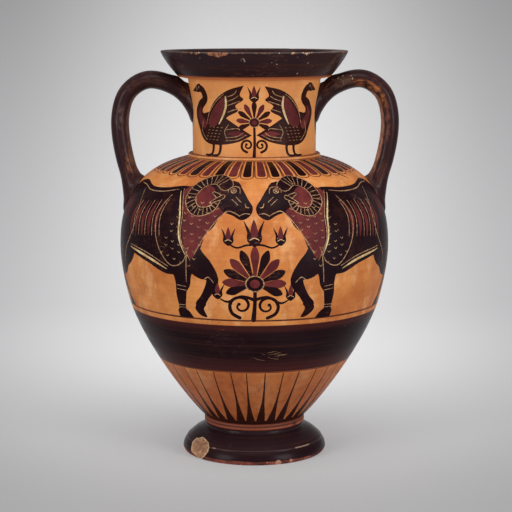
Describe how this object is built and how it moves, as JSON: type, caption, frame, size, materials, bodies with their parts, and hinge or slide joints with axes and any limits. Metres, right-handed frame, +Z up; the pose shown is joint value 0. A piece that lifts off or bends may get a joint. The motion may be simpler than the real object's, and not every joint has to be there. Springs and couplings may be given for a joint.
{
  "type": "neck amphora",
  "caption": "Two-handled clay storage jar with swelling body, set-off neck, flaring flat-rimmed mouth and spreading echinus foot, painted in black, clay red and purple.",
  "frame": {"origin": "centre of the standing face, on the table", "axes": "+Z up along the jar's axis, handles along +X and -X, the main picture side faces -Y"},
  "size_m": [0.284, 0.2664, 0.4],
  "materials": {
    "black_slip": "semi-gloss black slip, brushed",
    "clay": "burnished orange clay",
    "red_wash": "matt reddish-brown wash"
  },
  "bodies": {
    "root": {"foot": "black_slip", "foot_fillet": "red_wash", "lower_body": "black_slip", "upper_body": "clay", "neck_ring": "clay", "neck": "clay", "mouth": "black_slip", "right_handle": "black_slip", "left_handle": "black_slip"}
  },
  "joints": []
}
